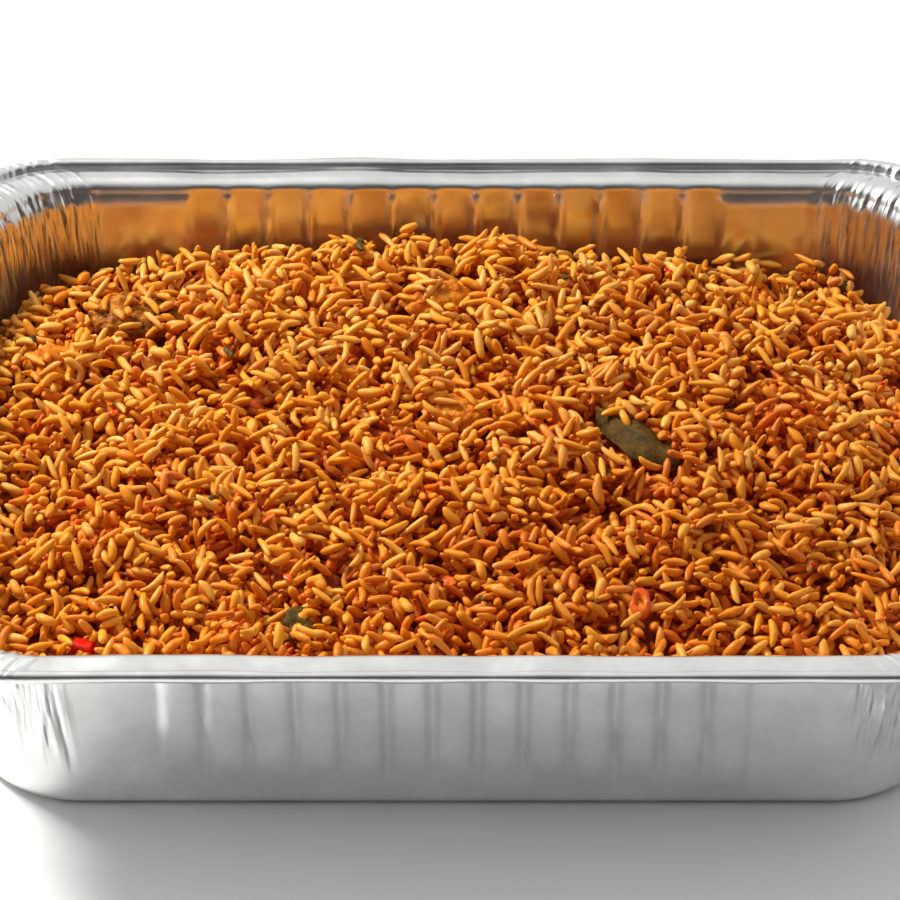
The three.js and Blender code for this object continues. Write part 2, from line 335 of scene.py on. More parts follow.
def speckle_group():
    """Two scales of noise on the piece's own coordinates: a mask in 0 to 1 for finishes to use."""
    group = bpy.data.node_groups.new("fine_speckle", "ShaderNodeTree")
    for name, kind, start in (("Scale", "NodeSocketFloat", 400), ("Fine share", "NodeSocketFloat", 0.4)):
        socket = group.interface.new_socket(name, in_out="INPUT", socket_type=kind)
        socket.default_value = start
    group.interface.new_socket("Mask", in_out="OUTPUT", socket_type="NodeSocketFloat")
    nodes, links = group.nodes, group.links
    enter, leave = nodes.new("NodeGroupInput"), nodes.new("NodeGroupOutput")
    place = nodes.new("ShaderNodeTexCoord")
    broad, fine = nodes.new("ShaderNodeTexNoise"), nodes.new("ShaderNodeTexNoise")
    times = nodes.new("ShaderNodeMath")
    times.operation = "MULTIPLY"
    times.inputs[1].default_value = 5.3
    mix = nodes.new("ShaderNodeMix")
    links.new(place.outputs["Object"], broad.inputs["Vector"])
    links.new(place.outputs["Object"], fine.inputs["Vector"])
    links.new(enter.outputs["Scale"], broad.inputs["Scale"])
    links.new(enter.outputs["Scale"], times.inputs[0])
    links.new(times.outputs[0], fine.inputs["Scale"])
    links.new(enter.outputs["Fine share"], mix.inputs["Factor"])
    links.new(broad.outputs["Fac"], mix.inputs["A"])
    links.new(fine.outputs["Fac"], mix.inputs["B"])
    links.new(mix.outputs["Result"], leave.inputs["Mask"])
    return group


SPECKLE = speckle_group()


def start_finish(name):
    """A new material, with its nodes, links and shader at hand."""
    material = bpy.data.materials.new(name)
    material.use_nodes = True
    tree = material.node_tree
    return material, tree.nodes, tree.links, tree.nodes["Principled BSDF"]


def speckle(material, scale, fine_share):
    """Places the speckle in a material and hands back its mask."""
    node = material.node_tree.nodes.new("ShaderNodeGroup")
    node.node_tree = SPECKLE
    node.inputs["Scale"].default_value = scale
    node.inputs["Fine share"].default_value = fine_share
    return node.outputs["Mask"]


def stretch(material, value, low, high, to_low, to_high):
    """Stretches a mask from one range to another."""
    node = material.node_tree.nodes.new("ShaderNodeMapRange")
    for name, number in zip(("From Min", "From Max", "To Min", "To Max"), (low, high, to_low, to_high)):
        node.inputs[name].default_value = number
    material.node_tree.links.new(value, node.inputs["Value"])
    return node.outputs["Result"]


def colours(material, value, *stops):
    """Turns a mask into colours that run through the given stops, each a position and a colour."""
    ramp = material.node_tree.nodes.new("ShaderNodeValToRGB")
    elements = ramp.color_ramp.elements
    for element, (position, colour) in zip(elements, (stops[0], stops[-1])):
        element.position = position
        element.color = (*colour, 1)
    for position, colour in stops[1:-1]:
        elements.new(position).color = (*colour, 1)
    material.node_tree.links.new(value, ramp.inputs["Fac"])
    return ramp.outputs["Color"]


def raised(material, value, strength, distance):
    """A bump that stands out where the mask is bright."""
    bump = material.node_tree.nodes.new("ShaderNodeBump")
    bump.inputs["Strength"].default_value = strength
    bump.inputs["Distance"].default_value = distance
    material.node_tree.links.new(value, bump.inputs["Height"])
    return bump


def foil_finish():
    """Bright rolled aluminium: fine drawing lines, a slightly milky bloom, and at the corners
    many small creases that run up the wall and cross each other."""
    material, nodes, links, shader = start_finish("rolled_foil")
    shader.inputs["Metallic"].default_value = 1.0
    bloom = speckle(material, 60, 0.3)
    tone = colours(material, bloom, (0.3, (0.76, 0.77, 0.76)), (0.7, (0.88, 0.89, 0.89)))
    links.new(tone, shader.inputs["Base Color"])
    links.new(stretch(material, bloom, 0.3, 0.7, 0.27, 0.37), shader.inputs["Roughness"])
    place = nodes.new("ShaderNodeTexCoord")
    along = nodes.new("ShaderNodeMapping")
    along.inputs["Scale"].default_value = (20, 20, 900)
    lines = nodes.new("ShaderNodeTexNoise")
    lines.inputs["Scale"].default_value = 1.0
    links.new(place.outputs["Object"], along.inputs["Vector"])
    links.new(along.outputs["Vector"], lines.inputs["Vector"])
    run = nodes.new("ShaderNodeAttribute")
    run.attribute_name = "gather"
    parts = nodes.new("ShaderNodeSeparateXYZ")
    links.new(run.outputs["Vector"], parts.inputs["Vector"])
    normal = raised(material, lines.outputs["Fac"], 0.08, 0.0003).outputs["Normal"]
    for turn, sharpness in ((0.20, 0.55), (-0.16, 0.55), (0.50, 0.35)):
        lean = nodes.new("ShaderNodeMapping")
        lean.inputs["Rotation"].default_value = (0, 0, turn)
        lean.inputs["Scale"].default_value = (330, 38, 0)
        crease = nodes.new("ShaderNodeTexNoise")
        crease.inputs["Scale"].default_value = 1.0
        crease.inputs["Detail"].default_value = 1.0
        times = nodes.new("ShaderNodeMath")
        times.operation = "MULTIPLY"
        links.new(run.outputs["Vector"], lean.inputs["Vector"])
        links.new(lean.outputs["Vector"], crease.inputs["Vector"])
        links.new(stretch(material, crease.outputs["Fac"], 0.35, 0.65, 0, 1), times.inputs[0])
        links.new(parts.outputs["Z"], times.inputs[1])
        bump = raised(material, times.outputs[0], sharpness, 0.0009)
        links.new(normal, bump.inputs["Normal"])
        normal = bump.outputs["Normal"]
    links.new(normal, shader.inputs["Normal"])
    return material


tray.data.materials.append(foil_finish())
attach(tray, "root")
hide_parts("tray")

# ---- bed of rice ----------------------------------------------------------------------------
# The imported rice under the loose top grains: one soft mass that fills the tray from its base,
# steamed together, seen only in the gaps between the grains above it and coloured dark red-brown
# there: sauce stain plus painted shade.

GRAIN_LAYER = 0.0078
BED_WALL_ROOM = 0.0030
BED_CORNER_ROOM = 0.0034
BED_SHRINK = 0.970
BED_FACE = 0.0028
COARSE_CELL = 0.0025
STEEPEST_STEP = 0.0016
GRID_X = 0.1500
GRID_Y = 0.1200


def merged_copy(node_name, name):
    """A copy of a CAD node with its loose triangles joined up, left selected and active."""
    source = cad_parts[node_name]
    piece = source.copy()
    piece.data = source.data.copy()
    piece.name = piece.data.name = name
    piece.data.materials.clear()
    bpy.context.collection.objects.link(piece)
    pick_only(piece)
    bpy.ops.object.mode_set(mode="EDIT")
    bpy.ops.mesh.select_all(action="SELECT")
    bpy.ops.mesh.remove_doubles(threshold=0.00001)
    bpy.ops.object.mode_set(mode="OBJECT")
    return piece


def evened(piece, cell):
    """Redraws the piece's surface in even little faces."""
    remesh = piece.modifiers.new("even", "REMESH")
    remesh.mode = "VOXEL"
    remesh.voxel_size = cell
    bpy.ops.object.modifier_apply(modifier="even")


def roughened(piece, size, height):
    """Gives the piece uneven lumps of the given size and height."""
    clouds = bpy.data.textures.new("lumps", "CLOUDS")
    clouds.noise_scale = size
    relief = piece.modifiers.new("relief", "DISPLACE")
    relief.texture = clouds
    relief.texture_coords = "LOCAL"
    relief.strength = height
    bpy.ops.object.modifier_apply(modifier="relief")


def surface_tree(piece):
    corners = [vertex.co for vertex in piece.data.vertices]
    return BVHTree.FromPolygons(corners, [face.vertices for face in piece.data.polygons])


def crossings(cell):
    """Where the lines of an even grid over the tray lie, along X and along Y."""
    return np.arange(-GRID_X, GRID_X + 0.0001, cell), np.arange(-GRID_Y, GRID_Y + 0.0001, cell)


def past_corner(x, y, inset):
    """How far places lie past where the walls start to round, along X and along Y."""
    past_x = np.maximum(np.abs(x) - (HALF_LONG - inset - WALL_CORNER), 0)
    past_y = np.maximum(np.abs(y) - (HALF_DEEP - inset - WALL_CORNER), 0)
    return past_x, past_y


def tops_over(tree, xs, ys, missing):
    """Height of the first surface met from above at each crossing of xs and ys."""
    down = Vector((0, 0, -1))
    tops = np.full((len(ys), len(xs)), missing)
    for row, y in enumerate(ys):
        for column, x in enumerate(xs):
            hit = tree.ray_cast(Vector((x, y, 0.2)), down)[0]
            if hit:
                tops[row, column] = hit.z
    return tops


def read_grid(grid, xs, ys, x, y):
    """The grid's value at any place, blended between its crossings."""
    column = np.clip((x - xs[0]) / (xs[1] - xs[0]), 0, len(xs) - 1.001)
    row = np.clip((y - ys[0]) / (ys[1] - ys[0]), 0, len(ys) - 1.001)
    i, j = row.astype(int), column.astype(int)
    v, u = row - i, column - j
    near = grid[i, j] * (1 - u) + grid[i, j + 1] * u
    far = grid[i + 1, j] * (1 - u) + grid[i + 1, j + 1] * u
    return near * (1 - v) + far * v


bed = merged_copy("rice", "rice_bed")
rice_tree = surface_tree(bed)
coarse_x, coarse_y = crossings(COARSE_CELL)
rice_tops = tops_over(rice_tree, coarse_x, coarse_y, 0.0)
for _ in range(16):
    ringed = np.pad(rice_tops, 1, mode="edge")
    beside = np.max([ringed[1:-1, :-2], ringed[1:-1, 2:], ringed[:-2, 1:-1], ringed[2:, 1:-1]], 0)
    rice_tops = np.maximum(rice_tops, beside - STEEPEST_STEP)
evened(bed, BED_FACE)
bed_points = mesh_points(bed)
full_height = read_grid(rice_tops, coarse_x, coarse_y, bed_points[:, 0], bed_points[:, 1])
full_height = np.maximum(full_height, 0.02)
bed_points[:, 2] *= (full_height - GRAIN_LAYER) / full_height
for axis, half in ((0, HALF_LONG), (1, HALF_DEEP)):
    limit = half - wall_inset(bed_points[:, 2]) - BED_WALL_ROOM
    bed_points[:, axis] = np.clip(bed_points[:, axis] * BED_SHRINK, -limit, limit)
bed_inset = wall_inset(bed_points[:, 2]) + BED_CORNER_ROOM
past_x, past_y = past_corner(bed_points[:, 0], bed_points[:, 1], bed_inset)
kept_share = np.minimum(WALL_CORNER / np.maximum(np.hypot(past_x, past_y), 1e-6), 1) - 1
bed_points[:, 0] += np.sign(bed_points[:, 0]) * past_x * kept_share
bed_points[:, 1] += np.sign(bed_points[:, 1]) * past_y * kept_share
set_mesh_points(bed, bed_points)
roughened(bed, 0.0045, 0.0022)
bpy.ops.object.shade_smooth()


def sauced_and_shaded_bed_finish():
    """Wet dark orange-brown gaps between packed grains: pepper and tomato sauce, darkened further as
    painted shade.
    """
    material, _, links, shader = start_finish("sauced_and_shaded_bed")
    shader.inputs["Roughness"].default_value = 0.65
    shader.inputs["Specular IOR Level"].default_value = 0.15
    mask = speckle(material, 260, 0.35)
    # Dark red-brown tones: sauce colour, made darker than any grain as painted shade in the gaps.
    tone = colours(material, mask, (0.35, (0.16, 0.013, 0.001)), (0.70, (0.54, 0.080, 0.003)))
    links.new(tone, shader.inputs["Base Color"])
    links.new(raised(material, mask, 0.7, 0.001).outputs["Normal"], shader.inputs["Normal"])
    return material


bed.data.materials.append(sauced_and_shaded_bed_finish())
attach(bed, "root")
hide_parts("rice")

# ---- meat -----------------------------------------------------------------------------------
# Small lumps of stewed meat, torn by hand and so lumpy and ragged, half sunk in the heap. The
# largest is fried brown, and the others are coated in the rice's sauce.


def meat_finish(name, dark, mid, light):
    """Moist torn meat: three tones in uneven patches, rough where it is dark."""
    material, _, links, shader = start_finish(name)
    shader.inputs["Specular IOR Level"].default_value = 0.06
    shader.inputs["Coat Weight"].default_value = 0.06
    shader.inputs["Coat Roughness"].default_value = 0.2
    mask = speckle(material, 230, 0.45)
    tone = colours(material, mask, (0.34, dark), (0.5, mid), (0.66, light))
    links.new(tone, shader.inputs["Base Color"])
    links.new(stretch(material, mask, 0.3, 0.7, 0.60, 0.38), shader.inputs["Roughness"])
    links.new(raised(material, mask, 0.9, 0.0012).outputs["Normal"], shader.inputs["Normal"])
    return material


browned = meat_finish("browned_meat", (0.060, 0.022, 0.003), (0.30, 0.085, 0.006), (0.62, 0.23, 0.022))
sauced = meat_finish("sauced_meat", (0.40, 0.070, 0.004), (0.66, 0.19, 0.012), (0.78, 0.31, 0.035))
MEATS = ("meat_back_left", "meat_left", "meat_back", "meat_middle_left", "meat_middle_right")
meat_trees = []
for meat_name in MEATS:
    lump = merged_copy(meat_name, meat_name + "_torn")
    evened(lump, 0.0008)
    roughened(lump, 0.0042, 0.0030)
    roughened(lump, 0.0018, 0.0014)
    bpy.ops.object.shade_smooth()
    meat_trees.append(surface_tree(lump))
    lump.data.materials.append(browned if meat_name == "meat_back_left" else sauced)
    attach(lump, "root")
    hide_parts(meat_name)

# ---- bay leaf -------------------------------------------------------------------------------
# A dried bay leaf cooked with the rice: thin, leathery, olive brown and oily, with a raised
# midrib and faint veins. It curls a little across its width and lies among the top grains.

LEAF_TURN = math.radians(-48)
LEAF_LENGTH = 0.036
LEAF_WIDTH = 0.0110
LEAF_THICKNESS = 0.0003
leaf_low, leaf_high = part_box("bay_leaf")
leaf_middle = (leaf_low + leaf_high) / 2

bpy.ops.object.select_all(action="DESELECT")
bpy.ops.mesh.primitive_grid_add(x_subdivisions=44, y_subdivisions=14, size=2)
leaf = bpy.context.object
leaf.name = leaf.data.name = "curled_bay_leaf"
leaf_points = mesh_points(leaf)
leaf_u, leaf_v = leaf_points[:, 0].copy(), leaf_points[:, 1].copy()
leaf_half = LEAF_WIDTH / 2 * (1 - np.abs(leaf_u) ** 2.2) ** 0.75 * (1 + 0.10 * leaf_u) + 0.0002
ragged = 1 + 0.03 * np.sin(11 * leaf_u + 2 * leaf_v) + 0.015 * np.sin(23 * leaf_u)
leaf_points[:, 0] = leaf_u * LEAF_LENGTH / 2
leaf_points[:, 1] = leaf_v * leaf_half * ragged + 0.0012 * leaf_u ** 2
leaf_points[:, 2] = 0.0028 * (1 - leaf_v ** 2) * (1 - 0.4 * leaf_u ** 2) - 0.0013 * leaf_u ** 2
leaf_points[:, 2] += 0.0006 * np.exp(-(leaf_v / 0.16) ** 2) + 0.0005 * np.sin(7 * leaf_u + 3 * leaf_v)
leaf_points[:, 2] += 0.0010 * leaf_v + 0.00010 * np.sin(30 * (leaf_u + 0.5 * np.abs(leaf_v)))
turned = leaf_points.copy()
leaf_points[:, 0] = leaf_middle.x + turned[:, 0] * math.cos(LEAF_TURN) - turned[:, 1] * math.sin(LEAF_TURN)
leaf_points[:, 1] = leaf_middle.y + turned[:, 0] * math.sin(LEAF_TURN) + turned[:, 1] * math.cos(LEAF_TURN)
leaf_points[:, 2] = leaf_middle.z - 0.0003 + turned[:, 2]
set_mesh_points(leaf, leaf_points)
veined = leaf.data.attributes.new("leaf_place", "FLOAT_VECTOR", "POINT")
veined.data.foreach_set("vector", np.stack([leaf_u, np.abs(leaf_v), leaf_v], 1).astype(np.float32).ravel())
leaf_thickness = leaf.modifiers.new("thickness", "SOLIDIFY")
leaf_thickness.thickness = LEAF_THICKNESS
leaf_thickness.offset = 0
bpy.ops.object.modifier_apply(modifier="thickness")
bpy.ops.object.shade_smooth_by_angle(angle=math.radians(60))


def leaf_finish():
    """Cooked bay leaf: olive brown, darker in patches, a lighter midrib and side veins, oily."""
    material, nodes, links, shader = start_finish("cooked_leaf")
    shader.inputs["Specular IOR Level"].default_value = 0.06
    place = nodes.new("ShaderNodeAttribute")
    place.attribute_name = "leaf_place"
    parts = nodes.new("ShaderNodeSeparateXYZ")
    links.new(place.outputs["Vector"], parts.inputs["Vector"])
    skew = nodes.new("ShaderNodeMath")
    skew.operation = "MULTIPLY_ADD"
    skew.inputs[1].default_value = -0.55
    links.new(parts.outputs["Y"], skew.inputs[0])
    links.new(parts.outputs["X"], skew.inputs[2])
    wave = nodes.new("ShaderNodeMath")
    wave.operation = "PINGPONG"
    wave.inputs[1].default_value = 0.075
    links.new(skew.outputs[0], wave.inputs[0])
    veins = stretch(material, wave.outputs[0], 0.0, 0.022, 1.0, 0.0)
    midrib = stretch(material, parts.outputs["Y"], 0.03, 0.10, 1.0, 0.0)
    ribs = nodes.new("ShaderNodeMath")
    ribs.operation = "MAXIMUM"
    links.new(veins, ribs.inputs[0])
    links.new(midrib, ribs.inputs[1])
    patches = speckle(material, 190, 0.35)
    tone = colours(material, patches, (0.36, (0.035, 0.017, 0.003)), (0.66, (0.140, 0.076, 0.014)))
    ribbed = nodes.new("ShaderNodeMix")
    ribbed.data_type = "RGBA"
    ribbed.inputs["B"].default_value = (0.17, 0.10, 0.018, 1)
    links.new(stretch(material, ribs.outputs[0], 0, 1, 0, 0.25), ribbed.inputs["Factor"])
    links.new(tone, ribbed.inputs["A"])
    links.new(ribbed.outputs["Result"], shader.inputs["Base Color"])
    links.new(stretch(material, patches, 0.3, 0.7, 0.50, 0.68), shader.inputs["Roughness"])
    vein_bump = raised(material, ribs.outputs[0], 0.3, 0.0003)
    links.new(vein_bump.outputs["Normal"], shader.inputs["Normal"])
    return material


leaf.data.materials.append(leaf_finish())
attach(leaf, "root")
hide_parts("bay_leaf")

# ---- loose grains ---------------------------------------------------------------------------
# Long-grain rice cooked in oily tomato and pepper sauce: separate plump grains up to 10 mm long,
# straight, bent, swollen or broken. Each is laid on the ones below it, as a spoon leaves them,
# so the heap has hollows where dark gaps show.

CELL = 0.0006
BED_CELL = 0.0015
LUMP_CELL = 0.0012
END_REACH = 0.0040
WALL_ROOM = 0.0018
SUNK_IN = 0.58
HIGHEST_PERCH = 0.0045
STEEP_BELOW = 0.0022
STEEPEST_REST = 0.7
UNDER_LEAF_PENALTY = 0.02
grid_x, grid_y = crossings(CELL)
every_x, every_y = np.meshgrid(grid_x, grid_y)
bed_x, bed_y = crossings(BED_CELL)
bed_tops = tops_over(surface_tree(bed), bed_x, bed_y, 0.0)
grains_top = read_grid(bed_tops, bed_x, bed_y, every_x, every_y)
wanted_top = read_grid(rice_tops, coarse_x, coarse_y, every_x, every_y)
grains_top = np.maximum(grains_top, wanted_top - GRAIN_LAYER - 0.0005)
chance = np.random.default_rng(2026)


def soft_noise(size, height):
    """Even-sized random hills over the grid."""
    rough = chance.normal(size=(int(2 * GRID_Y / size) + 4, int(2 * GRID_X / size) + 4))
    rough_x = -GRID_X + size * (np.arange(rough.shape[1]) - 1)
    rough_y = -GRID_Y + size * (np.arange(rough.shape[0]) - 1)
    return read_grid(rough, rough_x, rough_y, every_x, every_y) * height


wanted_top = wanted_top + soft_noise(0.017, 0.0018) + soft_noise(0.009, 0.0024)
lump_x, lump_y = crossings(LUMP_CELL)
for tree in meat_trees:
    lump_top = read_grid(tops_over(tree, lump_x, lump_y, 0.0), lump_x, lump_y, every_x, every_y)
    grains_top = np.maximum(grains_top, lump_top)
    on_lump = lump_top - 0.0026 + soft_noise(0.007, 0.0014)
    wanted_top = np.where(lump_top > wanted_top - 0.001, on_lump, wanted_top)
from_leaf_x, from_leaf_y = every_x - leaf_middle.x, every_y - leaf_middle.y
leaf_along = from_leaf_x * math.cos(LEAF_TURN) + from_leaf_y * math.sin(LEAF_TURN)
leaf_across = from_leaf_y * math.cos(LEAF_TURN) - from_leaf_x * math.sin(LEAF_TURN)
near_leaf = (np.abs(leaf_along) < LEAF_LENGTH * 0.52) & (np.abs(leaf_across) < LEAF_WIDTH * 0.50)
under_leaf = near_leaf & (leaf_across < LEAF_WIDTH * 0.16)
before_leaf = (leaf_across < 0) & (leaf_across > -LEAF_WIDTH)
before_leaf &= np.abs(leaf_along - 0.003) < LEAF_LENGTH * 0.40
ceiling = np.where(under_leaf, leaf_low.z - 0.0002, 1.0)
ceiling = np.where(before_leaf, np.minimum(ceiling, leaf_low.z - 0.0030), ceiling)
wanted_top = np.minimum(wanted_top, ceiling - 0.001)
leaf_tree = surface_tree(leaf)
leaf_top = read_grid(tops_over(leaf_tree, lump_x, lump_y, 0.0), lump_x, lump_y, every_x, every_y)
over_leaf = (leaf_across > LEAF_WIDTH * 0.10) & (leaf_top > 0.030)
grains_top = np.where(over_leaf, np.maximum(grains_top, leaf_top), grains_top)
wanted_top = np.where(over_leaf, leaf_top, wanted_top)


def inside_tray(x, y, height, room):
    """Whether places lie inside the walls at their height, with the given room to spare."""
    return np.hypot(*past_corner(x, y, wall_inset(height) + room)) < WALL_CORNER


def random_places(number, reach, room):
    """Middle places and headings of grains whose both ends stay inside the walls."""
    x = chance.uniform(-0.146, 0.146, number * 3)
    y = chance.uniform(-0.118, 0.118, number * 3)
    heading = chance.uniform(0, math.pi, number * 3)
    height = read_grid(wanted_top, grid_x, grid_y, x, y)
    good = np.ones(number * 3, bool)
    for end in (-1, 1):
        end_x, end_y = x + end * reach * np.cos(heading), y + end * reach * np.sin(heading)
        good &= inside_tray(end_x, end_y, height, room)
    chosen = np.flatnonzero(good)[:number]
    return x[chosen], y[chosen], heading[chosen]


STATIONS = np.linspace(-0.86, 0.86, 7)


def rest_on(x, y, heading, half, radius):
    """Where a grain comes to rest: the height of its middle and its slope along itself, held up
    by what it touches on either side of its middle."""
    run = STATIONS * half
    off = np.array([-0.5, 0, 0.5]) * radius
    cos, sin = np.cos(heading)[:, None, None], np.sin(heading)[:, None, None]
    along_x = x[:, None, None] + run * cos - off[:, None] * sin
    along_y = y[:, None, None] + run * sin + off[:, None] * cos
    column = np.clip(((along_x - grid_x[0]) / CELL).astype(int), 0, len(grid_x) - 1)
    row = np.clip(((along_y - grid_y[0]) / CELL).astype(int), 0, len(grid_y) - 1)
    under = grains_top[row, column].max(1)
    best = under[:, 3].copy()
    slope = np.zeros(len(x))
    for low in range(3):
        for high in range(4, 7):
            tilt = (under[:, high] - under[:, low]) / (run[high] - run[low])
            middle = under[:, low] - tilt * run[low]
            slope = np.where(middle > best, tilt, slope)
            best = np.maximum(best, middle)
    slope = np.clip(slope, -STEEPEST_REST, STEEPEST_REST)
    rest = (under - slope[:, None] * run).max(1)
    crown = (ceiling[row, column].min(1) - slope[:, None] * run).min(1)
    return rest + SUNK_IN * radius, slope, crown


def lay_grains(lengths, radii, kinds, choices, steep_share):
    """Lays grains one by one, each in the lowest of a few places tried for it."""
    laid = []
    number = len(lengths)
    x, y, heading = random_places(number * choices, END_REACH, WALL_ROOM)
    is_steep = chance.random(number) < steep_share
    steepness = np.where(is_steep, chance.uniform(0.40, 1.20, number), 0)
    steepness *= chance.choice((-1, 1), number)
    for index in range(min(number, len(x) // choices)):
        tried = slice(index * choices, (index + 1) * choices)
        half, radius = lengths[index] / 2, radii[index]
        height, slope, crown = rest_on(x[tried], y[tried], heading[tried], half, radius)
        column = ((x[tried] - grid_x[0]) / CELL).astype(int)
        row = ((y[tried] - grid_y[0]) / CELL).astype(int)
        above = height - wanted_top[row, column]
        above += np.where(height + radius > crown, UNDER_LEAF_PENALTY, 0)
        pick = int(np.argmin(above))
        if above[pick] > HIGHEST_PERCH:
            continue
        px, py, turn = x[tried][pick], y[tried][pick], heading[tried][pick]
        pitch = math.atan(slope[pick])
        if steepness[index] and above[pick] < STEEP_BELOW:
            pitch = steepness[index]
            height[pick] += 0.25 * half * abs(math.sin(pitch))
        laid.append((px, py, height[pick], turn, pitch, half, radius, kinds[index]))
        reach = int((half + radius) / CELL) + 1
        rows = slice(max(row[pick] - reach, 0), row[pick] + reach + 1)
        columns = slice(max(column[pick] - reach, 0), column[pick] + reach + 1)
        local_x, local_y = every_x[rows, columns] - px, every_y[rows, columns] - py
        flat = half * math.cos(pitch) + radius * abs(math.sin(pitch)) * 0.6
        along = local_x * math.cos(turn) + local_y * math.sin(turn)
        across = local_y * math.cos(turn) - local_x * math.sin(turn)
        swell = np.clip(1 - np.abs(along / flat) ** 2.2, 0, 1) - (across / radius) ** 2
        crest = radius * np.sqrt(np.maximum(swell, 0)) / math.cos(pitch)
        over = height[pick] + along * math.tan(pitch) + crest
        before = grains_top[rows, columns]
        grains_top[rows, columns] = np.where(swell > 0, np.maximum(before, over), before)
    return np.array(laid)


def draw_grain(segments, rings, cut):
    """One grain's surface at unit size, pointing along X: plump in the middle with tapered ends,
    or with one end broken off short."""
    bpy.ops.object.select_all(action="DESELECT")
    bpy.ops.mesh.primitive_uv_sphere_add(segments=segments, ring_count=rings, radius=1)
    grain = bpy.context.object
    bpy.ops.transform.rotate(value=math.pi / 2, orient_axis="Y", center_override=(0, 0, 0))
    bpy.ops.object.transform_apply(location=True, rotation=True, scale=True)
    points = mesh_points(grain)
    girth = np.hypot(points[:, 1], points[:, 2])
    fuller = np.clip(1 - np.abs(points[:, 0]) ** 2.7, 0, 1) ** 0.55 / np.maximum(girth, 1e-6)
    points[:, 1:] *= np.where(girth > 1e-4, fuller, 0)[:, None]
    if cut:
        points[:, 0] = np.minimum(points[:, 0], 0.45 + 0.18 * points[:, 1])
    faces = [tuple(face.vertices) for face in grain.data.polygons]
    bpy.data.objects.remove(grain)
    return points, faces


def smooth_piece(name, mesh):
    """A smooth piece of the scene from a mesh."""
    piece = bpy.data.objects.new(name, mesh)
    bpy.context.collection.objects.link(piece)
    pick_only(piece)
    bpy.ops.object.shade_smooth()
    return piece


def join_grains(name, laid, shape, bend_range, finish):
    """All the grains of one kind as one mesh, each with its own bend, taper, roll and tint."""
    points, faces = shape
    count = len(laid)
    px, py, pz, turn, pitch, half, radius, _ = laid.T
    bend = chance.uniform(*bend_range, count) * chance.choice((-1, 1), count)
    taper = chance.uniform(-0.22, 0.22, count)
    roll = chance.normal(0, 0.6, count)
    x = points[:, 0][None, :] * half[:, None]
    fat = 1 + taper[:, None] * points[:, 0][None, :]
    bow = (bend * half)[:, None] * (points[:, 0][None, :] ** 2 - 0.3)
    y = points[:, 1][None, :] * radius[:, None] * fat + bow
    z = points[:, 2][None, :] * radius[:, None] * fat * chance.uniform(0.80, 1.0, count)[:, None]
    y, z = (side + chance.normal(0, 0.00009, side.shape) for side in (y, z))
    cr, sr = np.cos(roll)[:, None], np.sin(roll)[:, None]
    y, z = y * cr - z * sr, y * sr + z * cr
    cp, sp = np.cos(pitch)[:, None], np.sin(pitch)[:, None]
    x, z = x * cp - z * sp, x * sp + z * cp
    ct, st = np.cos(turn)[:, None], np.sin(turn)[:, None]
    x, y = x * ct - y * st, x * st + y * ct
    every = np.stack([x + px[:, None], y + py[:, None], z + pz[:, None]], 2).reshape(-1, 3)
    size = len(points)
    mesh = bpy.data.meshes.new(name)
    every_face = [[i + size * k for i in face] for k in range(count) for face in faces]
    mesh.from_pydata(every.tolist(), [], every_face)
    tint = mesh.attributes.new("tint", "FLOAT", "POINT")
    # Each grain's tint is random, plus a painted lightening toward the back of the tray.
    tint_and_back_lightening = np.clip(0.10 + 0.80 * chance.random(count) + 0.20 * py / HALF_DEEP, 0, 1)
    tint.data.foreach_set("value", np.repeat(tint_and_back_lightening, size).astype(np.float32))
    # Grains sunk below the heap's top get darker and redder: painted shade in the pits, added to the real
    # sauce stain.
    depth = read_grid(wanted_top, grid_x, grid_y, px, py) - pz + 0.0002
    pit_shade = np.clip(depth / 0.0036, 0, 1)
    redness = read_grid(sauce, grid_x, grid_y, px, py)
    sauce_and_pit_shade = np.clip(0.85 * pit_shade + 0.30 * redness + 0.6 * chance.random(count) ** 3, 0, 1)
    sauce_and_shade = mesh.attributes.new("sauce_and_shade", "FLOAT", "POINT")
    sauce_and_shade.data.foreach_set("value", np.repeat(sauce_and_pit_shade, size).astype(np.float32))
    piece = smooth_piece(name, mesh)
    piece.data.materials.append(finish)
    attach(piece, "root")


def grain_finish():
    """Orange-gold cooked rice under a film of oil: each grain has its own tint, with a painted
    lightening toward the back; some stained redder by pepper, and those sunk deep in the heap darker
    and redder as painted shade; all a little mottled and slightly see-through."""
    material, nodes, links, shader = start_finish("oily_rice")
    shader.inputs["Subsurface Weight"].default_value = 0.30
    shader.inputs["Specular IOR Level"].default_value = 0.10
    shader.inputs["Subsurface Radius"].default_value = (0.0022, 0.0009, 0.0003)
    shader.inputs["Subsurface Scale"].default_value = 1.0
    shader.inputs["Coat Weight"].default_value = 0.16
    shader.inputs["Coat Roughness"].default_value = 0.20
    tint, sauce_and_shade = nodes.new("ShaderNodeAttribute"), nodes.new("ShaderNodeAttribute")
    tint.attribute_name, sauce_and_shade.attribute_name = "tint", "sauce_and_shade"
    mottle = speckle(material, 330, 0.3)
    blend = nodes.new("ShaderNodeMix")
    blend.inputs["Factor"].default_value = 0.35
    links.new(tint.outputs["Fac"], blend.inputs["A"])
    links.new(stretch(material, mottle, 0.3, 0.7, 0, 1), blend.inputs["B"])
    tone = colours(material, blend.outputs["Result"], (0.05, (0.68, 0.180, 0.005)),
                   (0.5, (0.79, 0.325, 0.022)), (0.95, (0.79, 0.45, 0.110)))
    # Mix toward dark red where the grain is stained: real sauce stain, plus painted shade on grains sunk in
    # the heap's pits.
    redder = nodes.new("ShaderNodeMix")
    redder.data_type = "RGBA"
    redder.inputs["B"].default_value = (0.60, 0.085, 0.002, 1)
    links.new(stretch(material, sauce_and_shade.outputs["Fac"], 0.1, 1.0, 0.0, 0.82), redder.inputs["Factor"])
    links.new(tone, redder.inputs["A"])
    links.new(redder.outputs["Result"], shader.inputs["Base Color"])
    links.new(stretch(material, mottle, 0.3, 0.7, 0.34, 0.50), shader.inputs["Roughness"])
    links.new(raised(material, mottle, 0.35, 0.0004).outputs["Normal"], shader.inputs["Normal"])
    return material


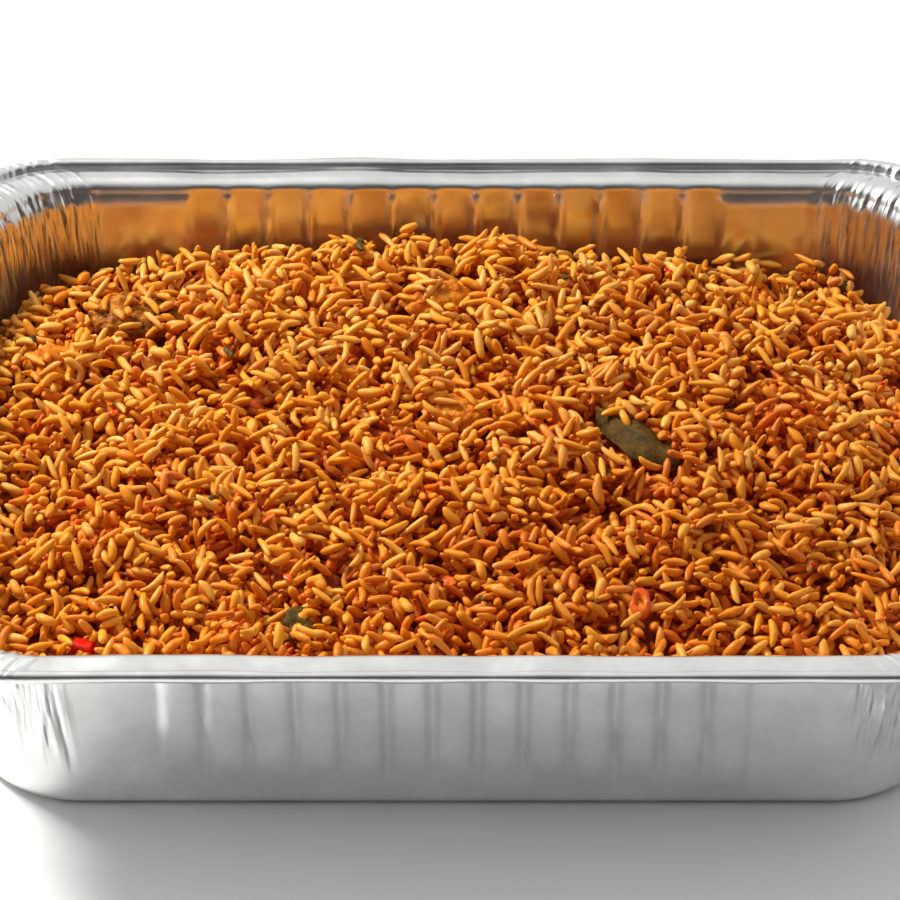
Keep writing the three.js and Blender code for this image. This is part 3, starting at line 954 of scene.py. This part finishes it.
oily_rice = grain_finish()
KINDS = {
    "long_grains": (3000, (0.0078, 0.0104), (0.00108, 0.00132), (0.00, 0.12), False),
    "bent_grains": (2900, (0.0072, 0.0096), (0.00108, 0.00136), (0.16, 0.42), False),
    "swollen_grains": (2000, (0.0062, 0.0084), (0.00138, 0.00168), (0.00, 0.20), False),
    "broken_grains": (1700, (0.0042, 0.0062), (0.00118, 0.00148), (0.00, 0.18), True),
}
spans = list(KINDS.values())
order = np.concatenate([np.full(span[0], kind) for kind, span in enumerate(spans)])
chance.shuffle(order)
grain_lengths = np.array([chance.uniform(*spans[kind][1]) for kind in order])
grain_radii = np.array([chance.uniform(*spans[kind][2]) for kind in order])
# Grains get redder and darker toward the front right of the tray.
front_right_ramp = np.clip(every_x / 0.15 - every_y / 0.12, -0.5, 1)
sauce = np.maximum(soft_noise(0.013, 1.0), 0) + 0.5 * front_right_ramp
LAYERS = ((0.0, 0.40, 3, 0.20), (0.40, 0.70, 3, 0.45), (0.70, 1.0, 2, 0.60))
layers = []
for start, stop, choices, steep in LAYERS:
    part = slice(int(len(order) * start), int(len(order) * stop))
    layers.append(lay_grains(grain_lengths[part], grain_radii[part], order[part], choices, steep))
laid_grains = np.concatenate(layers)

ON_LEAF = ((-0.0105, 0.0010, 0.3, 0.10), (-0.0065, 0.0018, 1.9, 0.15), (-0.0120, 0.0040, 2.6, -0.2))
resting = []
for along, across, heading, lean in ON_LEAF:
    x = leaf_middle.x + along * math.cos(LEAF_TURN) - across * math.sin(LEAF_TURN)
    y = leaf_middle.y + along * math.sin(LEAF_TURN) + across * math.cos(LEAF_TURN)
    carried = leaf_tree.ray_cast(Vector((x, y, 0.2)), Vector((0, 0, -1)))[0]
    resting.append((x, y, carried.z + 0.0012, heading, lean, 0.0040, 0.00135, 0))
laid_grains = np.concatenate([laid_grains, np.array(resting)])

for kind, (name, (count, lengths, radii, bends, cut)) in enumerate(KINDS.items()):
    join_grains(name, laid_grains[laid_grains[:, 7] == kind], draw_grain(7, 6, cut), bends, oily_rice)

# ---- pepper and tomato bits -----------------------------------------------------------------
# Chopped red pepper and tomato skin left from the stew: one bright dice of pepper, a curl of
# tomato, and small red flecks, all soft with cooking and shiny with oil, lying on the grains.


def soft_bit_finish(name, dark, light):
    """Soft cooked pepper or tomato, wet with oil and a little see-through."""
    material, _, links, shader = start_finish(name)
    shader.inputs["Specular IOR Level"].default_value = 0.12
    shader.inputs["Coat Weight"].default_value = 0.35
    shader.inputs["Coat Roughness"].default_value = 0.15
    shader.inputs["Subsurface Weight"].default_value = 0.05
    shader.inputs["Subsurface Radius"].default_value = (0.002, 0.0005, 0.0003)
    shader.inputs["Subsurface Scale"].default_value = 1.0
    mask = speckle(material, 420, 0.3)
    tone = colours(material, mask, (0.34, dark), (0.68, light))
    links.new(tone, shader.inputs["Base Color"])
    links.new(stretch(material, mask, 0.3, 0.7, 0.25, 0.42), shader.inputs["Roughness"])
    links.new(raised(material, mask, 0.5, 0.0004).outputs["Normal"], shader.inputs["Normal"])
    return material


red_pepper = soft_bit_finish("red_pepper", (0.50, 0.004, 0.001), (0.80, 0.016, 0.002))
tomato_skin = soft_bit_finish("tomato_skin", (0.62, 0.050, 0.002), (0.86, 0.20, 0.006))


def seat(piece, x, y, sunk):
    """Lowers a finished bit onto the grains at a place, sunk in by the given depth."""
    points = mesh_points(piece)
    ground = read_grid(grains_top, grid_x, grid_y, x + points[:, 0] * 0.6, y + points[:, 1] * 0.6)
    points += (x, y, ground.mean() - sunk - points[:, 2].min())
    set_mesh_points(piece, points)


def draw_bit(name, size, bevel, turn):
    """A softened block: a cube scaled to size, bevelled, subdivided and made lumpy."""
    bpy.ops.object.select_all(action="DESELECT")
    bpy.ops.mesh.primitive_cube_add(size=1)
    bit = bpy.context.object
    bit.name = bit.data.name = name
    bit.scale = size
    bpy.ops.object.transform_apply(location=True, rotation=False, scale=True)
    bpy.ops.object.mode_set(mode="EDIT")
    bpy.ops.mesh.select_all(action="SELECT")
    bpy.ops.mesh.bevel(offset=bevel, segments=3, affect="EDGES")
    bpy.ops.mesh.select_all(action="SELECT")
    bpy.ops.mesh.subdivide(number_cuts=2, smoothness=0.3)
    bpy.ops.transform.rotate(value=turn, orient_axis="Z", center_override=(0, 0, 0))
    bpy.ops.object.mode_set(mode="OBJECT")
    roughened(bit, 0.004, 0.0012)
    bpy.ops.object.shade_smooth()
    return bit


dice = draw_bit("pepper_dice", (0.0068, 0.0048, 0.0042), 0.0011, 0.3)
seat(dice, -0.1076, -0.0905, 0.0016)
dice.data.materials.append(red_pepper)
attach(dice, "root")

bpy.ops.object.select_all(action="DESELECT")
bpy.ops.mesh.primitive_torus_add(
    major_radius=0.0025, minor_radius=0.0014, major_segments=36, minor_segments=14)
curl = bpy.context.object
curl.name = curl.data.name = "tomato_curl"
curl_points = mesh_points(curl)
curl_points[:, 0] *= 0.85
curl_points[:, 1] *= 1.25
curl_points[:, 2] = curl_points[:, 2] * 1.3 + 0.35 * curl_points[:, 1]
set_mesh_points(curl, curl_points)
roughened(curl, 0.004, 0.0009)
bpy.ops.object.shade_smooth()
seat(curl, 0.0535, -0.0800, 0.0026)
curl.data.materials.append(tomato_skin)
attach(curl, "root")


def join_flecks(name, places, size, finish):
    """Small flattened chips, each turned and stretched its own way, lying on the grains."""
    bpy.ops.object.select_all(action="DESELECT")
    bpy.ops.mesh.primitive_ico_sphere_add(subdivisions=3, radius=0.5)
    bit = bpy.context.object
    points = mesh_points(bit) * (1, 0.62, 0.30)
    faces = [tuple(face.vertices) for face in bit.data.polygons]
    bpy.data.objects.remove(bit)
    every = []
    for x, y in places:
        wave = chance.uniform(3, 8, 3)
        uneven = 1 + 0.22 * np.sin(points @ wave + chance.uniform(0, 6))
        uneven += 0.14 * np.sin(points[:, :2] @ wave[1:] * 2)
        grown = points * uneven[:, None] * chance.uniform(*size) * chance.uniform(0.7, 1.3, 3)
        spin = Matrix.Rotation(chance.uniform(0, 6.3), 3, "Z")
        turn = spin @ Matrix.Rotation(chance.normal(0, 0.5), 3, "X")
        grown = grown @ np.array(turn).T
        ground = read_grid(grains_top, grid_x, grid_y, np.array([x]), np.array([y]))[0]
        every.append(grown + (x, y, ground))
    mesh = bpy.data.meshes.new(name)
    count = len(points)
    mesh.from_pydata(np.concatenate(every).tolist(), [],
                     [[i + count * k for i in face] for k in range(len(places)) for face in faces])
    piece = smooth_piece(name, mesh)
    piece.data.materials.append(finish)
    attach(piece, "root")


def scattered(number):
    """Random places well inside the walls."""
    x, y, _ = random_places(number, 0.003, 0.006)
    return list(zip(x, y))


join_flecks("red_flecks", scattered(14), (0.0016, 0.0032), red_pepper)
join_flecks("tomato_flecks", scattered(40), (0.0020, 0.0044), tomato_skin)

# ---- herb bits ------------------------------------------------------------------------------
# Scraps of stewed herb leaf, brown and olive, thin and limp, caught between the grains: some
# small ones and one long one near the front.

herb_brown = meat_finish("stewed_herb", (0.030, 0.016, 0.003), (0.090, 0.050, 0.006), (0.20, 0.12, 0.015))
PLACED_SCRAPS = [(-0.0495, 0.067), (0.129, -0.043), (-0.020, -0.095)]
join_flecks("herb_scraps", PLACED_SCRAPS + scattered(16), (0.0022, 0.0046), herb_brown)
join_flecks("long_herb_scrap", [(-0.0448, -0.088)], (0.0120, 0.0125), herb_brown)
